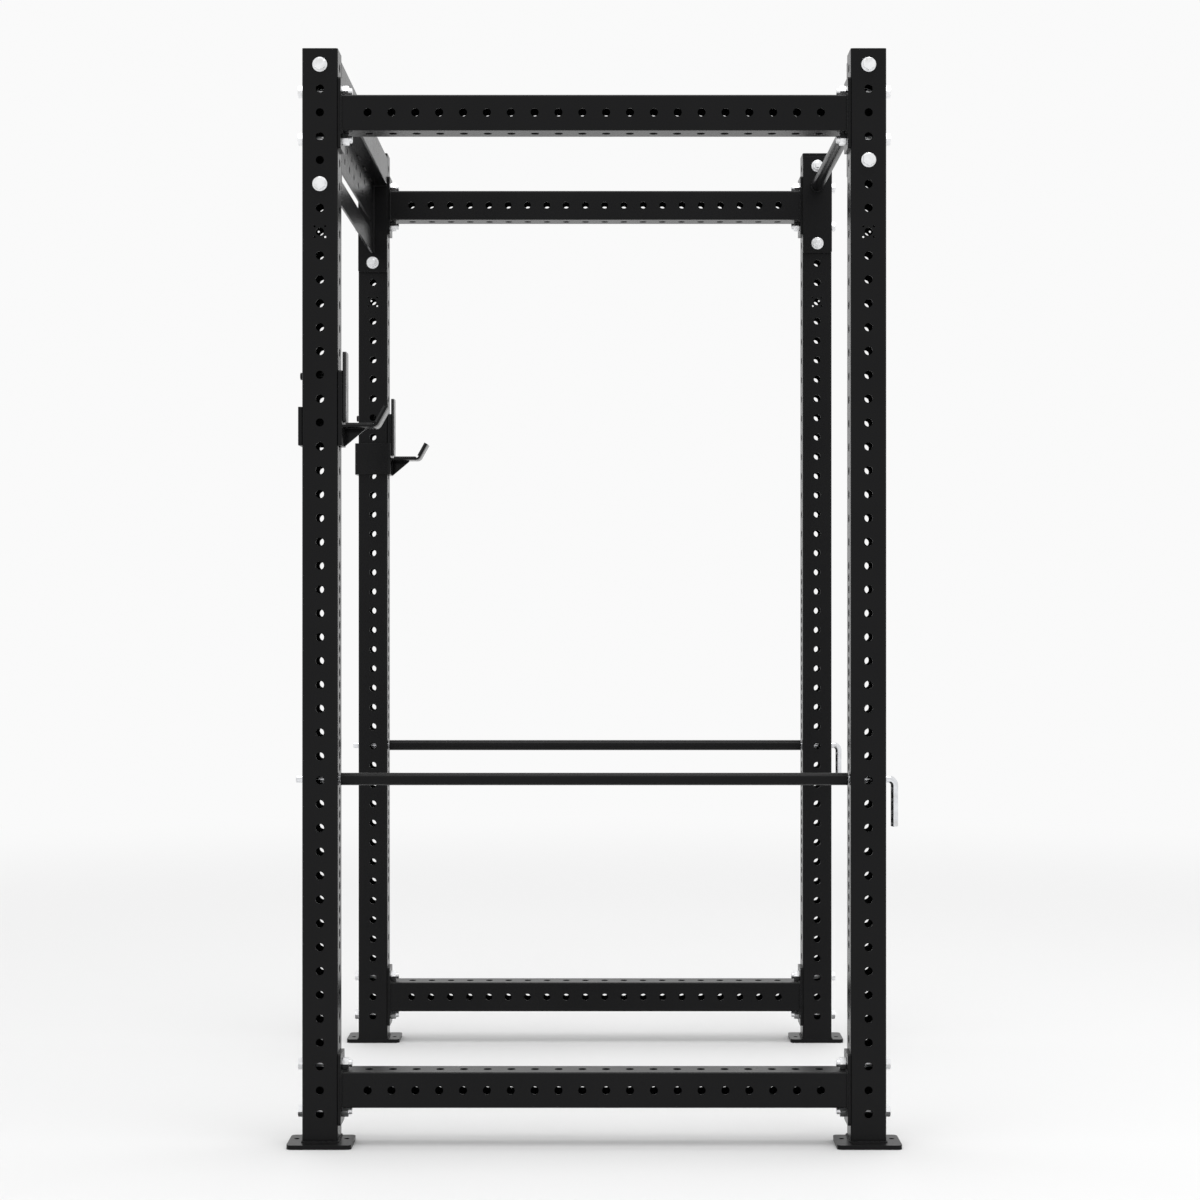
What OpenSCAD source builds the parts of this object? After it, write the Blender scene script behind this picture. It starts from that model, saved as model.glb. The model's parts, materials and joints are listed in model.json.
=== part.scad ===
// Power cage: four drilled square uprights, side crossmembers, a panelled front
// crossmember, a pull-up bar, two pin-and-pipe safeties and two lined J-cups.
// Millimetres. X runs front to rear, Y from left to right, Z up.
// The origin is on the floor at the middle of the footprint.

/* [Cage] */
// Clear distance between the front and rear uprights
bay_length = 1092.2; // [760:0.1:1600]
// Clear distance between the left and right uprights
bay_width = 1092.2; // [760:0.1:1600]
// Length of an upright's tube
upright_length = 2330.5; // [1940:0.5:2900]

/* [Square tube] */
// Outside width of the square tube
tube_w = 76.2; // [60:0.1:100]
// Wall of the square tube
tube_wall = 3.05; // [2:0.05:4.5]
// Outside corner radius of the square tube
tube_corner = 5; // [4.8:0.1:9]

/* [Attachment holes] */
// Diameter of an attachment hole
hole_d = 17.5; // [16.5:0.1:21]
// Distance from one attachment hole to the next
hole_pitch = 50.8; // [44:0.1:62]
// Height of the lowest hole above the upright's lower end
first_hole = 60.35; // [40:0.05:80]
// Least distance from the highest hole to the upright's upper end
top_edge = 25.4; // [24:0.1:60]
// Least distance from a crossmember's end to its first hole
crossmember_edge = 63.5; // [30:0.1:120]
// Lowest hole of the half-pitch zone on the front and rear faces
half_pitch_from = 8; // [4:1:12]
// Highest hole of the half-pitch zone on the front and rear faces
half_pitch_to = 24; // [14:1:30]
// How many holes below the top hole the ringed marker hole is
marker_below_top = 7; // [6:1:9]
// Diameter of the small holes round the marker hole
marker_d = 4.5; // [2:0.1:7]
// Distance from the marker hole's centre to the small holes
marker_r = 16; // [14:0.1:20]

/* [Feet and caps] */
// Thickness of a foot plate
foot_t = 9.5; // [4:0.05:12]
// How far a foot plate reaches past the upright at the front and the rear
foot_ear = 31; // [24:0.5:50]
// How far a foot plate reaches past the upright on the outer side
foot_outward = 25.4; // [10:0.1:60]
// Corner radius of a foot plate
foot_corner = 10; // [2:0.5:20]
// Diameter of the floor anchor holes
anchor_d = 11; // [8:0.1:16]
// Thickness of an end cap's top
cap_t = 3; // [2:0.1:5]
// Depth of an end cap's skirt
cap_skirt = 12; // [6:0.5:14]
// Gap between an end cap and the tube wall
cap_gap = 0.15; // [0.05:0.05:0.5]

/* [Flanges] */
// Thickness of the end flanges
flange_t = 6.35; // [4:0.05:12]
// Distance from a flange's bolt hole to its end
flange_edge = 25.4; // [20:0.1:40]
// Corner radius of a flange
flange_corner = 6; // [1:0.5:15]

/* [Fasteners] */
// Shank diameter of the frame bolts
bolt_d = 15.875; // [12:0.005:16]
// Width across the flats of the bolt heads and nuts
hex_af = 23.8; // [20:0.1:24.4]
// Height of a bolt head
head_h = 9.9; // [6:0.1:14]
// Height of a nut
nut_h = 13.9; // [8:0.1:18]
// Outside diameter of a washer
washer_d = 31.4; // [26:0.1:38]
// Thickness of a washer
washer_t = 2.4; // [1:0.1:4]
// Length of thread past the nut
thread_out = 7; // [2:0.5:15]
// Gap round a shank in a nut
thread_gap = 0.05; // [0.02:0.01:0.2]
// Gap round a shank in a washer
washer_gap = 0.6; // [0.2:0.1:1]

/* [Front panel] */
// How many holes below the top hole the panel's lower bolts are
panel_span = 5; // [4:1:8]
// Thickness of the panel
panel_t = 4.5; // [3:0.1:8]
// Height of the panel's lower edge above its lower bolts
panel_lift = 22; // [20:0.5:40]
// Height of the strap under the panel's slot
strap_h = 55.5; // [20:0.5:70]
// Height of the panel's slot
slot_h = 23; // [10:0.5:40]
// Distance from the panel's slot to the flanges
slot_edge = 55; // [20:1:120]
// Diameter of the holes in the panel's two rows
panel_hole_d = 16; // [6:0.5:20]
// Distance from one panel hole to the next
panel_hole_pitch = 101.6; // [60:0.1:140]

/* [Pull-up bar] */
// Outside diameter of the pull-up bar
bar_d = 31.75; // [25:0.05:50]
// Wall of the pull-up bar
bar_wall = 3.2; // [2:0.1:6]
// How many holes below the top hole the lower flange bolts are
bar_span = 4; // [3:1:6]

/* [Safeties] */
// Hole that holds the safeties, counted from the floor
safety_hole = 15; // [6:1:28]
// Outside diameter of a safety pipe
pipe_d = 26.7; // [22:0.1:42]
// Wall of a safety pipe
pipe_wall = 2.87; // [1.5:0.01:5]
// Gap from each end of a pipe to the upright
pipe_end_gap = 2.5; // [0.5:0.1:10]
// Diameter of a safety pin's rod
rod_d = 15.9; // [12:0.1:16.4]
// How far a safety pin's tip stands out past the front upright
rod_tip = 17; // [5:0.5:60]
// Distance from the rear upright to the middle of the pin's handle
handle_out = 21.7; // [18:0.1:60]
// Radius of the handle's bend, to the middle of the rod
handle_bend = 13.5; // [9:0.1:18]
// Distance from the rod's axis to the handle's end
handle_drop = 101.6; // [50:0.1:160]
// Chamfer at the ends of rods and bolts
rod_chamfer = 1.2; // [0.4:0.1:3]

/* [J-cups] */
// Hole that holds the J-cups, counted down from the panel's lower bolts
jcup_hole = 8; // [6:1:16]
// Diameter of a J-cup's pin
jcup_pin_d = 15.9; // [12:0.1:16.4]
// How far a J-cup's pin stands out past the front of the upright
jcup_pin_tip = 8; // [3:0.5:20]
// Gap between a J-cup and its upright
jcup_gap = 0.6; // [0.3:0.05:1.5]
// Thickness of the bracket's front and back plates
bracket_t = 8; // [6:0.1:12]
// Thickness of the bracket's side plate
side_plate_t = 6.35; // [4:0.05:10]
// Outer radius of the bracket's bends
bracket_bend = 6; // [2:0.5:6]
// How far the bracket reaches above the pin
bracket_rise = 10; // [9:0.5:30]
// How far the bracket reaches below the pin
bracket_drop = 150; // [135:0.5:200]
// Width of the bracket's plate on the front of the upright
back_lip = 74; // [10:0.5:76]
// Height of the bracket's side and back plates
side_plate_h = 82; // [40:0.5:100]
// Thickness of the liner on the front plate
face_liner_t = 7.5; // [5:0.1:14]
// Width of the liner on the front plate
face_liner_w = 50.8; // [40:0.1:60]
// How far the face liner reaches above the pin
face_liner_rise = 51; // [20:0.5:80]
// Gap from the face liner down to the shelf's lined surface
face_liner_gap = 4; // [1:0.5:12]
// Thickness of the liners on the shelf and the lip
shelf_liner_t = 4; // [3.5:0.1:8]
// Depth of the shelf's lined surface below the pin
shelf_drop = 102; // [60:0.5:115]
// Distance from the face liner to the lip, along the shelf
saddle = 61; // [40:0.5:90]
// Thickness of the shelf and the lip
hook_t = 4.8; // [4:0.05:10]
// Lean of the lip from upright
lip_lean = 29; // [5:1:45]
// Length of the lip along its lined face
lip_length = 42; // [30:0.5:80]
// Radius of the hook's bend, up to the level of the liners' faces
saddle_r = 6; // [2:0.5:12]
// Reach of the gusset along the shelf
gusset_reach = 46; // [20:0.5:60]
// Thickness of the gusset
gusset_t = 6.35; // [4:0.05:10]
// Shank diameter of the liner screws
screw_d = 5; // [3:0.1:6]
// Head diameter of the liner screws
screw_head_d = 9.6; // [8:0.1:12]
// Distance from a J-cup's middle to the screws of the shelf and the lip
screw_y = 22; // [15:0.5:26]
// Distance from a J-cup's middle to the screws of the face liner
face_screw_y = 15; // [8:0.5:18]
// Depths of the face liner's screws below the pin
face_screw_drops = [24, 80];
// Gap round a liner screw
screw_gap = 0.1; // [0.05:0.05:0.3]

/* [Hidden] */
$fn = 48;
cut = 1;
powder_black = "#1d1d1f";
zinc = "#d8dade";
plastic_black = "#101012";

upright_x = (bay_length + tube_w) / 2;
upright_y = (bay_width + tube_w) / 2;
outer_x = bay_length / 2 + tube_w;
outer_y = bay_width / 2 + tube_w;
tube_in = tube_w - 2 * tube_wall;
tube_in_corner = max(tube_corner - tube_wall, 0.4);

hole_count = floor((upright_length - first_hole - top_edge) / hole_pitch + 0.001) + 1;
crossmember_holes = floor((bay_length - 2 * crossmember_edge) / hole_pitch + 0.001) + 1;
function hole_z(k) = foot_t + first_hole + (k - 1) * hole_pitch;
top_hole_z = hole_z(hole_count);

// Bolts clear the crossmember by whole holes, up and down from its middle
bolt_step = ceil((tube_w / 2 + hex_af / 2 + 0.3) / hole_pitch);
bolt_rise = bolt_step * hole_pitch;
bottom_z = hole_z(bolt_step + 1);
top_z = hole_z(hole_count - bolt_step - 1);
side_flange_h = 2 * (bolt_rise + flange_edge);

foot_l = tube_w + 2 * foot_ear;
foot_w = tube_w + foot_outward;
anchor_x = (tube_w + foot_ear) / 2;

side_grip = tube_w + flange_t;
end_grip = tube_w + flange_t + washer_t;
span_y = bay_width - 2 * flange_t;

// Holes from the top bolts to the lower bolts: further where the side joints need more
// holes, and one hole higher where a side joint's bolts would be in the way
function below_top(span) = let (k = span + 2 * (bolt_step - 1)) k == 2 * bolt_step + 1 ? k - 1 : k;
panel_drop = below_top(panel_span);
bar_drop = below_top(bar_span);

panel_bolts = [top_hole_z, top_hole_z - panel_drop * hole_pitch];
beam_z = top_hole_z + flange_edge - tube_w / 2;
panel_top = beam_z - tube_w / 2;
panel_bottom = panel_bolts[1] + panel_lift;
slot_z = panel_bottom + strap_h + slot_h / 2;
row_gap = (panel_top - slot_z - slot_h / 2) / 3;

bar_bolts = [top_hole_z, top_hole_z - bar_drop * hole_pitch];
bar_z = top_hole_z - hole_pitch;

safety_z = hole_z(safety_hole);
handle_x = outer_x + handle_out;

jcup_z = hole_z(hole_count - panel_drop - jcup_hole);
plate_front = jcup_gap + bracket_t;
liner_front = plate_front + face_liner_t;
lip_turn = 90 - lip_lean;
bend_run = saddle_r * tan(lip_turn / 2);
bend_x = liner_front + saddle - bend_run;
bend_z = saddle_r - shelf_drop;
lip_run = lip_length - bend_run;
shelf_under = shelf_drop + shelf_liner_t + hook_t;
shelf_screw_x = (liner_front + bend_x) / 2;
screw_head_h = (screw_head_d - screw_d) / 2;
screw_sink = 0.3;
face_screw_l = face_liner_t + 0.6 * bracket_t;
hook_screw_l = shelf_liner_t + 0.7 * hook_t;

// Signs of the four corners
front = -1;
rear = 1;
left = -1;
right = 1;

module along_x() rotate([0, 90, 0]) children();
module along_y() rotate([-90, 0, 0]) children();

module rounded_rect(l, w, r) {
    square([l - 2 * r, w], center = true);
    square([l, w - 2 * r], center = true);
    for (sx = [-1, 1], sy = [-1, 1])
        translate([sx * (l / 2 - r), sy * (w / 2 - r)]) circle(r);
}

module square_tube(l) {
    linear_extrude(l, center = true) difference() {
        rounded_rect(tube_w, tube_w, tube_corner);
        rounded_rect(tube_in, tube_in, tube_in_corner);
    }
}

// A hole drilled through both walls of a tube, along Z
module tube_hole(d = hole_d) cylinder(h = tube_w + 2 * cut, d = d, center = true);

// Uprights, feet and caps

module upright(sx, sy) {
    color(powder_black) translate([sx * upright_x, sy * upright_y, 0]) difference() {
        translate([0, 0, foot_t + upright_length / 2]) square_tube(upright_length);
        for (k = [1 : hole_count]) translate([0, 0, hole_z(k)]) {
            along_x() tube_hole();
            along_y() tube_hole();
        }
        for (k = [half_pitch_from : half_pitch_to - 1])
            translate([0, 0, hole_z(k) + hole_pitch / 2]) along_x() tube_hole();
        translate([0, 0, hole_z(hole_count - marker_below_top)]) along_y()
            for (a = [45 : 90 : 315]) rotate(a) translate([marker_r, 0]) tube_hole(marker_d);
    }
}

module foot(sx, sy) {
    color(powder_black) translate([sx * upright_x, sy * upright_y, 0]) linear_extrude(foot_t)
        difference() {
            translate([0, sy * foot_outward / 2]) rounded_rect(foot_l, foot_w, foot_corner);
            for (x = [-anchor_x, anchor_x]) translate([x, 0]) circle(d = anchor_d);
        }
}

module cap(sx, sy) {
    outer = tube_in - 2 * cap_gap;
    color(plastic_black)
        translate([sx * upright_x, sy * upright_y, foot_t + upright_length - cap_t]) {
            linear_extrude(cap_t) rounded_rect(outer, outer, tube_in_corner);
            translate([0, 0, -cap_skirt]) linear_extrude(cap_skirt) difference() {
                rounded_rect(outer, outer, tube_in_corner);
                square(outer - 2 * cap_t, center = true);
            }
        }
}

// Fasteners: their axis is Z, pointing inward, with zero on the upright's outer face

module shank(d, l) {
    c = rod_chamfer;
    rotate_extrude() polygon([[0, 0], [d / 2, 0], [d / 2, l - c], [d / 2 - c, l], [0, l]]);
}

// A hexagon whose corners are turned down by cones at one end or both
module hex_block(h, low, high) {
    r = hex_af / 2 / cos(30);
    drop = (r - hex_af / 2) * tan(30);
    rim = hex_af / 2;
    intersection() {
        cylinder(h = h, r = r, $fn = 6);
        rotate_extrude() polygon([
            [0, 0], [low ? rim : r + cut, 0], [r + cut, low ? drop + cut * tan(30) : 0],
            [r + cut, high ? h - drop - cut * tan(30) : h], [high ? rim : r + cut, h], [0, h]
        ]);
    }
}

module bolt(grip) {
    rooted = head_h / 2;
    color(zinc) translate([0, 0, -washer_t]) {
        translate([0, 0, -head_h]) rotate(30) hex_block(head_h, true, false);
        translate([0, 0, -rooted]) shank(bolt_d, rooted + washer_t + grip + nut_h + thread_out);
    }
}

module washer(z) {
    color(zinc) translate([0, 0, z]) linear_extrude(washer_t) difference() {
        circle(d = washer_d);
        circle(d = bolt_d + 2 * washer_gap);
    }
}

module nut(grip) {
    color(zinc) translate([0, 0, grip]) difference() {
        rotate(30) hex_block(nut_h, true, true);
        translate([0, 0, -cut]) cylinder(h = nut_h + 2 * cut, d = bolt_d + 2 * thread_gap);
    }
}

module at_side_joints(sy) {
    for (sx = [front, rear], z = [bottom_z, top_z], dz = [-bolt_rise, bolt_rise])
        translate([sx * outer_x, sy * upright_y, z + dz]) rotate([0, -90 * sx, 0]) children();
}

module at_end_joints(sx, heights) {
    for (sy = [left, right], z = heights)
        translate([sx * upright_x, sy * outer_y, z]) rotate([90 * sy, 0, 0]) children();
}

// Side crossmembers

module side_crossmember(sy, z) {
    first = -(crossmember_holes - 1) * hole_pitch / 2;
    color(powder_black) translate([0, sy * upright_y, z]) difference() {
        along_x() square_tube(bay_length - 2 * flange_t);
        for (k = [0 : crossmember_holes - 1]) translate([first + k * hole_pitch, 0, 0]) {
            tube_hole();
            along_y() tube_hole();
        }
    }
}

// A flange that stands upright on edge, its thickness along Z and its height along X
module flange(heights, up, down) {
    linear_extrude(flange_t, center = true) difference() {
        translate([(down - up) / 2, 0]) rounded_rect(up + down, tube_w, flange_corner);
        for (h = heights) translate([-h, 0]) circle(d = hole_d);
    }
}

module side_flanges(sy, z) {
    color(powder_black) for (sx = [front, rear])
        translate([sx * (bay_length - flange_t) / 2, sy * upright_y, z])
            along_x() flange([-bolt_rise, bolt_rise], side_flange_h / 2, side_flange_h / 2);
}

// Flanges on the inner sides of two uprights, hung from the top hole
module end_flanges(sx, drop) {
    color(powder_black) for (sy = [left, right])
        translate([sx * upright_x, sy * (bay_width - flange_t) / 2, top_hole_z])
            along_y() rotate(90)
                flange([0, -drop * hole_pitch], flange_edge, drop * hole_pitch + flange_edge);
}

// Front crossmember

module front_beam() {
    color(powder_black) translate([front * upright_x, 0, beam_z]) along_y() square_tube(span_y);
}

module front_panel() {
    h = panel_top - panel_bottom;
    pairs = floor((span_y / 2 - slot_edge) / panel_hole_pitch);
    color(powder_black) translate([front * upright_x, 0, 0]) rotate([90, 0, 90])
        linear_extrude(panel_t, center = true) difference() {
            translate([-span_y / 2, panel_bottom]) square([span_y, h]);
            translate([0, slot_z]) rounded_rect(span_y - 2 * slot_edge, slot_h, slot_h / 4);
            for (i = [-pairs : pairs])
                translate([i * panel_hole_pitch, panel_top - row_gap]) circle(d = panel_hole_d);
            for (i = [-pairs : pairs - 1])
                translate([(i + 0.5) * panel_hole_pitch, panel_top - 2 * row_gap])
                    circle(d = panel_hole_d);
        }
}

// Pull-up bar

module pull_up_bar() {
    color(powder_black) translate([rear * upright_x, 0, bar_z]) along_y()
        linear_extrude(span_y, center = true) difference() {
            circle(d = bar_d);
            circle(d = bar_d - 2 * bar_wall);
        }
}

// Pin-and-pipe safeties

module safety_pipe(sy) {
    color(powder_black) translate([0, sy * upright_y, safety_z]) along_x()
        linear_extrude(bay_length - 2 * pipe_end_gap, center = true) difference() {
            circle(d = pipe_d);
            circle(d = pipe_d - 2 * pipe_wall);
        }
}

module safety_pin(sy) {
    bend_start = handle_x - handle_bend;
    color(zinc) translate([0, sy * upright_y, safety_z]) {
        translate([bend_start, 0, 0]) rotate([0, -90, 0]) shank(rod_d, bend_start + outer_x + rod_tip);
        translate([bend_start, 0, -handle_bend]) rotate([90, 0, 0])
            rotate_extrude(angle = 90) translate([handle_bend, 0]) circle(d = rod_d);
        translate([handle_x, 0, -handle_bend]) rotate([180, 0, 0])
            shank(rod_d, handle_drop - handle_bend);
    }
}

// J-cups: X is measured from the upright's rear face, Y towards the middle of the cage
// and Z from the pin

module at_jcup(sy) {
    translate([-bay_length / 2, sy * upright_y, jcup_z])
        if (sy == right) mirror([0, 1, 0]) children();
        else children();
}

// The bracket from above: a channel round the rear, inner and front faces of the upright
module bracket_plan() {
    deep = tube_w + 2 * (jcup_gap + bracket_t);
    wide = tube_w + 2 * (jcup_gap + side_plate_t);
    difference() {
        translate([-tube_w / 2, 0]) rounded_rect(deep, wide, bracket_bend);
        translate([-tube_w / 2, 0]) square(tube_w + 2 * jcup_gap, center = true);
        translate([-deep, -wide]) square([2 * deep, wide - tube_w / 2]);
        translate([-deep - tube_w / 2, -wide]) square([deep, wide + tube_w / 2 - back_lip]);
    }
}

// A screw along Z whose head's rim is just under zero; gap widens it into its own hole
module liner_screw(l, gap = 0) {
    r = screw_d / 2 + gap;
    head_r = screw_head_d / 2 + gap;
    top = gap > 0 ? cut : -screw_sink;
    rotate_extrude() polygon([
        [0, top], [head_r, top], [head_r, -screw_sink],
        [r, -screw_sink - screw_head_h], [r, -l - gap], [0, -l - gap]
    ]);
}

module at_face_screws() {
    for (y = [-face_screw_y, face_screw_y], z = face_screw_drops)
        translate([liner_front, y, -z]) along_x() children();
}

module at_shelf_screws() {
    for (y = [-screw_y, screw_y]) translate([shelf_screw_x, y, -shelf_drop]) children();
}

module at_lip_screws() {
    for (y = [-screw_y, screw_y])
        translate([bend_x, 0, bend_z]) rotate([0, -lip_turn, 0])
            translate([lip_run / 2, y, -saddle_r]) children();
}

module jcup_bracket(sy) {
    h = bracket_drop + bracket_rise;
    color(powder_black) at_jcup(sy) difference() {
        union() {
            translate([jcup_gap, 0, h / 2 - bracket_drop]) along_x()
                linear_extrude(bracket_t) rounded_rect(h, tube_w, bracket_bend);
            translate([0, 0, -bracket_drop]) linear_extrude(side_plate_h) bracket_plan();
        }
        along_x() cylinder(h = 3 * bracket_t, d = jcup_pin_d + 2 * thread_gap, center = true);
        at_face_screws() liner_screw(face_screw_l, screw_gap);
    }
}

module jcup_pin(sy) {
    color(powder_black) at_jcup(sy) translate([plate_front, 0, 0]) rotate([0, -90, 0])
        shank(jcup_pin_d, plate_front + tube_w + jcup_pin_tip);
}

// The lip's part of the hook, or of its liner, between two depths under the lined surface;
// lap runs it back into the bend
module lip_strip(from, to, lap = 0) {
    translate([bend_x, 0, bend_z]) rotate([0, -lip_turn, 0])
        translate([-lap, -tube_w / 2, -saddle_r - to]) cube([lip_run + lap, tube_w, to - from]);
}

// The flat shelf, between two depths under the lined surface
module shelf_strip(start, from, to) {
    translate([start, -tube_w / 2, -shelf_drop - to]) cube([bend_x - start, tube_w, to - from]);
}

// The upward bend between the shelf and the lip
module bend_strip(from, to) {
    translate([bend_x, 0, bend_z]) rotate([90, 0, 0]) rotate(-90) rotate_extrude(angle = lip_turn)
        translate([saddle_r + from, -tube_w / 2]) square([to - from, tube_w]);
}

module jcup_hook(sy) {
    color(powder_black) at_jcup(sy) difference() {
        union() {
            shelf_strip(plate_front, shelf_liner_t, shelf_liner_t + hook_t);
            bend_strip(shelf_liner_t, shelf_liner_t + hook_t);
            lip_strip(shelf_liner_t, shelf_liner_t + hook_t, 0.2);
        }
        at_shelf_screws() liner_screw(hook_screw_l, screw_gap);
        at_lip_screws() liner_screw(hook_screw_l, screw_gap);
    }
}

module jcup_gusset(sy) {
    color(powder_black) at_jcup(sy) rotate([90, 0, 0]) linear_extrude(gusset_t, center = true)
        polygon([
            [plate_front, -shelf_under], [plate_front + gusset_reach, -shelf_under],
            [plate_front + gusset_reach, -shelf_under - gusset_t / 2],
            [plate_front + gusset_t / 2, -bracket_drop], [plate_front, -bracket_drop]
        ]);
}

module jcup_face_liner(sy) {
    h = face_liner_rise + shelf_drop - face_liner_gap;
    color(plastic_black) at_jcup(sy) difference() {
        translate([plate_front, 0, face_liner_rise - h / 2]) along_x() linear_extrude(face_liner_t)
            intersection() {
                translate([bracket_bend, 0])
                    rounded_rect(h + 2 * bracket_bend, face_liner_w, bracket_bend);
                square([h, face_liner_w], center = true);
            }
        at_face_screws() liner_screw(face_screw_l, screw_gap);
    }
}

module jcup_shelf_liner(sy) {
    color(plastic_black) at_jcup(sy) difference() {
        shelf_strip(liner_front, 0, shelf_liner_t);
        at_shelf_screws() liner_screw(hook_screw_l, screw_gap);
    }
}

module jcup_lip_liner(sy) {
    color(plastic_black) at_jcup(sy) difference() {
        lip_strip(0, shelf_liner_t);
        at_lip_screws() liner_screw(hook_screw_l, screw_gap);
    }
}

module socket_screw(l) {
    difference() {
        liner_screw(l);
        translate([0, 0, -screw_sink - screw_head_h]) cylinder(h = screw_head_h + cut, d = 4, $fn = 6);
    }
}

module jcup_screws(sy) {
    color(zinc) at_jcup(sy) {
        at_face_screws() socket_screw(face_screw_l);
        at_shelf_screws() socket_screw(hook_screw_l);
        at_lip_screws() socket_screw(hook_screw_l);
    }
}

upright(front, left);  // front_left_upright
upright(front, right);  // front_right_upright
upright(rear, left);  // rear_left_upright
upright(rear, right);  // rear_right_upright

foot(front, left);  // front_left_foot
foot(front, right);  // front_right_foot
foot(rear, left);  // rear_left_foot
foot(rear, right);  // rear_right_foot

cap(front, left);  // front_left_cap
cap(front, right);  // front_right_cap
cap(rear, left);  // rear_left_cap
cap(rear, right);  // rear_right_cap

side_crossmember(left, top_z);  // top_left_crossmember
side_crossmember(right, top_z);  // top_right_crossmember
side_crossmember(left, bottom_z);  // bottom_left_crossmember
side_crossmember(right, bottom_z);  // bottom_right_crossmember

side_flanges(left, top_z);  // top_left_flanges
side_flanges(right, top_z);  // top_right_flanges
side_flanges(left, bottom_z);  // bottom_left_flanges
side_flanges(right, bottom_z);  // bottom_right_flanges

at_side_joints(left) bolt(side_grip);  // left_side_bolts
at_side_joints(left) washer(-washer_t);  // left_side_washers
at_side_joints(left) nut(side_grip);  // left_side_nuts
at_side_joints(right) bolt(side_grip);  // right_side_bolts
at_side_joints(right) washer(-washer_t);  // right_side_washers
at_side_joints(right) nut(side_grip);  // right_side_nuts

front_beam();
front_panel();
end_flanges(front, panel_drop);  // front_flanges
at_end_joints(front, panel_bolts) bolt(end_grip);  // front_bolts
for (z = [-washer_t, side_grip]) at_end_joints(front, panel_bolts) washer(z);  // front_washers
at_end_joints(front, panel_bolts) nut(end_grip);  // front_nuts

pull_up_bar();
end_flanges(rear, bar_drop);  // pull_up_flanges
at_end_joints(rear, bar_bolts) bolt(end_grip);  // pull_up_bolts
for (z = [-washer_t, side_grip]) at_end_joints(rear, bar_bolts) washer(z);  // pull_up_washers
at_end_joints(rear, bar_bolts) nut(end_grip);  // pull_up_nuts

safety_pipe(left);  // left_safety_pipe
safety_pin(left);  // left_safety_pin
safety_pipe(right);  // right_safety_pipe
safety_pin(right);  // right_safety_pin

jcup_bracket(left);  // left_jcup_bracket
jcup_hook(left);  // left_jcup_hook
jcup_gusset(left);  // left_jcup_gusset
jcup_pin(left);  // left_jcup_pin
jcup_face_liner(left);  // left_jcup_face_liner
jcup_shelf_liner(left);  // left_jcup_shelf_liner
jcup_lip_liner(left);  // left_jcup_lip_liner
jcup_screws(left);  // left_jcup_screws
jcup_bracket(right);  // right_jcup_bracket
jcup_hook(right);  // right_jcup_hook
jcup_gusset(right);  // right_jcup_gusset
jcup_pin(right);  // right_jcup_pin
jcup_face_liner(right);  // right_jcup_face_liner
jcup_shelf_liner(right);  // right_jcup_shelf_liner
jcup_lip_liner(right);  // right_jcup_lip_liner
jcup_screws(right);  // right_jcup_screws
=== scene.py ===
import json
from math import cos, pi, radians, sin

import bmesh
import bpy
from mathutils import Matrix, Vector


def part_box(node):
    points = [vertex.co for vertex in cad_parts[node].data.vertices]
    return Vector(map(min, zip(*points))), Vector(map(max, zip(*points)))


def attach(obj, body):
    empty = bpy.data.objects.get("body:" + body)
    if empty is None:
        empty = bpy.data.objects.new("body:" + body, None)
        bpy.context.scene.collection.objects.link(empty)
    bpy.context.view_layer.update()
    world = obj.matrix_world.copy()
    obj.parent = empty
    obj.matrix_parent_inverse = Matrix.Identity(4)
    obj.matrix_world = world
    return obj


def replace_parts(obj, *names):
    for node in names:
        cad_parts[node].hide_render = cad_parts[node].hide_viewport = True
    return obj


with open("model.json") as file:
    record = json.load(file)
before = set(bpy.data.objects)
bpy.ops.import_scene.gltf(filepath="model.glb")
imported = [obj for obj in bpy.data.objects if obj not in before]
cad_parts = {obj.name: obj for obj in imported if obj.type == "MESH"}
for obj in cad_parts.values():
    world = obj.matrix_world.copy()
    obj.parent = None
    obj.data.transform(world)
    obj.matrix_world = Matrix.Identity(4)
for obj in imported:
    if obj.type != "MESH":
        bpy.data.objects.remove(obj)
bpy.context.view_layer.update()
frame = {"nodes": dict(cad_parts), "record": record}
scene = bpy.context.scene
sides = ("left", "right")
corners = ("front_left", "front_right", "rear_left", "rear_right")
crossmembers = ("top_left_crossmember", "top_right_crossmember",
                "bottom_left_crossmember", "bottom_right_crossmember")
print("frame loaded:", len(frame["nodes"]), "nodes")


def boxOf(name):
    low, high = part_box(name)
    return low, high, (low + high) / 2


# node helpers, for shaders and geometry alike
def addNode(tree, kind, **settings):
    node = tree.nodes.new(kind)
    for key, value in settings.items():
        setattr(node, key, value)
    return node


def feed(tree, socket, value):
    if isinstance(value, bpy.types.NodeSocket):
        tree.links.new(value, socket)
    else:
        socket.default_value = value


def mathNode(tree, operation, first, second=None, clamp=False):
    node = addNode(tree, "ShaderNodeMath", operation=operation, use_clamp=clamp)
    feed(tree, node.inputs[0], first)
    if second is not None:
        feed(tree, node.inputs[1], second)
    return node.outputs[0]


def rangeNode(tree, value, low, high, toLow=0.0, toHigh=1.0, **settings):
    node = addNode(tree, "ShaderNodeMapRange", **settings)
    feed(tree, node.inputs["Value"], value)
    for label, number in (("From Min", low), ("From Max", high), ("To Min", toLow), ("To Max", toHigh)):
        node.inputs[label].default_value = number
    return node.outputs[0]


def noiseNode(tree, vector, scale, detail=2.0):
    node = addNode(tree, "ShaderNodeTexNoise")
    feed(tree, node.inputs["Vector"], vector)
    feed(tree, node.inputs["Scale"], scale)
    feed(tree, node.inputs["Detail"], detail)
    return node.outputs["Fac"]


def objectPlace(tree):
    return addNode(tree, "ShaderNodeTexCoord").outputs["Object"]


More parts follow.
